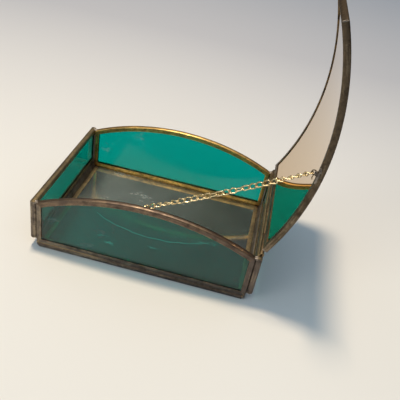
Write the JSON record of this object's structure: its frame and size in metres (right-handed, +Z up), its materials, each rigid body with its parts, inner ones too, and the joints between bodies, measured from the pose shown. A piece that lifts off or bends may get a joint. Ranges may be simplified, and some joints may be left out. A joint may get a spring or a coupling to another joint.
{
  "type": "glass casket box",
  "caption": "Small glass casket with brass came frames, a mirror floor and an arched mirror lid on a tube hinge, held open by a stay chain.",
  "frame": {"origin": "under the middle of the open casket, on the plane it stands on", "axes": "+Z up from the standing plane, +X along the long walls towards the hinge, +Y from the front wall to the back wall"},
  "size_m": [0.1878, 0.121, 0.2036],
  "materials": {
    "came_brass": "aged, brown patina with bright rubbed edges",
    "hinge_brass": "aged, satin",
    "chain_brass": "pale, polished by handling",
    "solder": "dull tin solder, rough",
    "teal_glass": "clear teal glass",
    "floor_mirror": "silvered from below, dusty",
    "lid_mirror": "amber tinted, silvered on its outer face",
    "silvering": "painted mirror backing"
  },
  "bodies": {
    "box": {"front_pane": "teal_glass", "front_came_top": "came_brass", "front_came_bottom": "came_brass", "front_came_left": "came_brass", "front_came_right": "came_brass", "back_pane": "teal_glass", "back_came_top": "came_brass", "back_came_bottom": "came_brass", "back_came_left": "came_brass", "back_came_right": "came_brass", "left_pane": "teal_glass", "left_came_top": "came_brass", "left_came_bottom": "came_brass", "left_came_front": "came_brass", "left_came_back": "came_brass", "right_pane": "teal_glass", "right_came_top": "came_brass", "right_came_bottom": "came_brass", "right_came_front": "came_brass", "right_came_back": "came_brass", "floor_mirror": "floor_mirror", "floor_silvering": "silvering", "floor_came_front": "came_brass", "floor_came_back": "came_brass", "floor_came_left": "came_brass", "floor_came_right": "came_brass", "corner_solder": "solder", "hinge_knuckles_box": "hinge_brass", "hinge_pin": "hinge_brass", "stay_eye_box": "chain_brass"},
    "lid": {"lid_mirror": "lid_mirror", "lid_silvering": "silvering", "lid_came_front": "came_brass", "lid_came_back": "came_brass", "lid_came_free": "came_brass", "lid_came_hinge": "came_brass", "hinge_knuckles_lid": "hinge_brass", "stay_eye_lid": "chain_brass"},
    "stay_box_run": {"stay_chain_box_run": "chain_brass"},
    "stay_box_turn": {"stay_chain_box_turn": "chain_brass"},
    "stay_middle": {"stay_chain_middle": "chain_brass"},
    "stay_lid_turn": {"stay_chain_lid_turn": "chain_brass"},
    "stay_lid_run": {"stay_chain_lid_run": "chain_brass"}
  },
  "joints": [
    {"name": "lid_hinge", "type": "hinge", "parent": "box", "child": "lid", "pos_m": [0.071, 0, 0.042], "axis": [0, 1, 0], "range_deg": [-92, 0]},
    {"name": "box_eye_swing", "type": "hinge", "parent": "box", "child": "stay_box_run", "pos_m": [-0.0122, -0.0542, 0.0552], "axis": [0, 1, 0], "range_deg": [0, 123.1]},
    {"name": "box_side_fold", "type": "hinge", "parent": "stay_box_run", "child": "stay_box_turn", "pos_m": [0.0277, -0.0542, 0.07677], "axis": [0, 1, 0], "range_deg": [-47.8, 0]},
    {"name": "middle_fold", "type": "hinge", "parent": "stay_box_turn", "child": "stay_middle", "pos_m": [0.03256, -0.0542, 0.07951], "axis": [0, 1, 0], "range_deg": [-45.6, 0]},
    {"name": "lid_side_fold", "type": "hinge", "parent": "stay_middle", "child": "stay_lid_turn", "pos_m": [0.04328, -0.0542, 0.08565], "axis": [0, 1, 0], "range_deg": [-45.6, 0]},
    {"name": "lid_eye_swing", "type": "hinge", "parent": "lid", "child": "stay_lid_run", "pos_m": [0.08689, -0.0542, 0.11195], "axis": [0, 1, 0], "range_deg": [0, 28.6]}
  ],
  "couplings": [
    {"joint": "box_eye_swing", "follows": "lid_hinge", "ratio": -1.3375},
    {"joint": "box_side_fold", "follows": "lid_hinge", "ratio": 0.51866},
    {"joint": "middle_fold", "follows": "lid_hinge", "ratio": 0.49492},
    {"joint": "lid_side_fold", "follows": "lid_hinge", "ratio": 0.49492},
    {"joint": "lid_eye_swing", "follows": "lid_hinge", "ratio": -0.31034}
  ]
}
